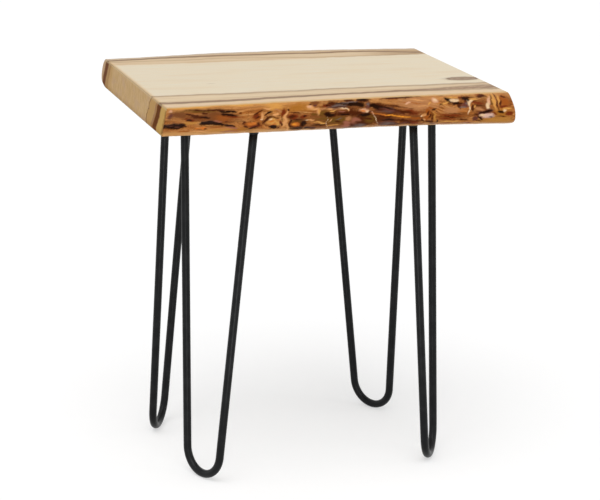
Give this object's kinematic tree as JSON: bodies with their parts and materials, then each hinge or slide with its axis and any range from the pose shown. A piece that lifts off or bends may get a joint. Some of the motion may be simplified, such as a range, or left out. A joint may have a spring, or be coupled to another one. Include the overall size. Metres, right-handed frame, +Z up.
{
  "type": "side table",
  "caption": "Low side table: a thick wooden slab with natural live edges along front and back, carried at its corners by splayed hairpin legs of bent black rod.",
  "frame": {"origin": "on the floor, under the middle of the table's overall box", "axes": "+Z up; X runs along the slab's grain; -Y is the front, the side of the dark-marked live edge"},
  "size_m": [0.481, 0.414, 0.551],
  "materials": {
    "slab_wood": "pale cream wood with brown heart streaks under a clear satin lacquer; amber, dark-marked live edges",
    "black_steel": "satin black powder coat over bent steel rod and plate",
    "zinc_steel": "bright zinc-plated screw heads"
  },
  "bodies": {
    "root": {"slab_top": "slab_wood", "front_left_rod": "black_steel", "front_right_rod": "black_steel", "back_left_rod": "black_steel", "back_right_rod": "black_steel", "front_left_plate": "black_steel", "front_right_plate": "black_steel", "back_left_plate": "black_steel", "back_right_plate": "black_steel", "front_left_screws": "zinc_steel", "front_right_screws": "zinc_steel", "back_left_screws": "zinc_steel", "back_right_screws": "zinc_steel"}
  },
  "joints": []
}
